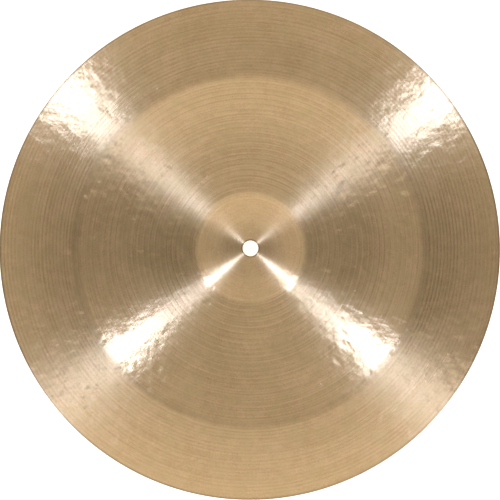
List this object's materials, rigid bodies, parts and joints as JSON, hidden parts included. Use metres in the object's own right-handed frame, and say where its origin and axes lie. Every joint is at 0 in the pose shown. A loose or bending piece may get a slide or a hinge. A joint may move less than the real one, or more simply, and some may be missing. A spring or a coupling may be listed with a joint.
{
  "type": "china cymbal",
  "caption": "Round bronze cymbal with a domed, pierced bell, a bow that falls to a tight fold, and a wide flange that turns up to the rim.",
  "frame": {"origin": "on the axis of the mounting hole, in the plane that the foot of the fold rests on when the cymbal lies bell up", "axes": "+Z along the axis of the hole, out of the top of the bell; the part is round about +Z"},
  "size_m": [0.4064, 0.4064, 0.025],
  "materials": {
    "bronze": "lathed and hammered cast bronze with fine concentric grooves and a thin clear lacquer"
  },
  "bodies": {
    "root": {"cymbal": "bronze"}
  },
  "joints": []
}
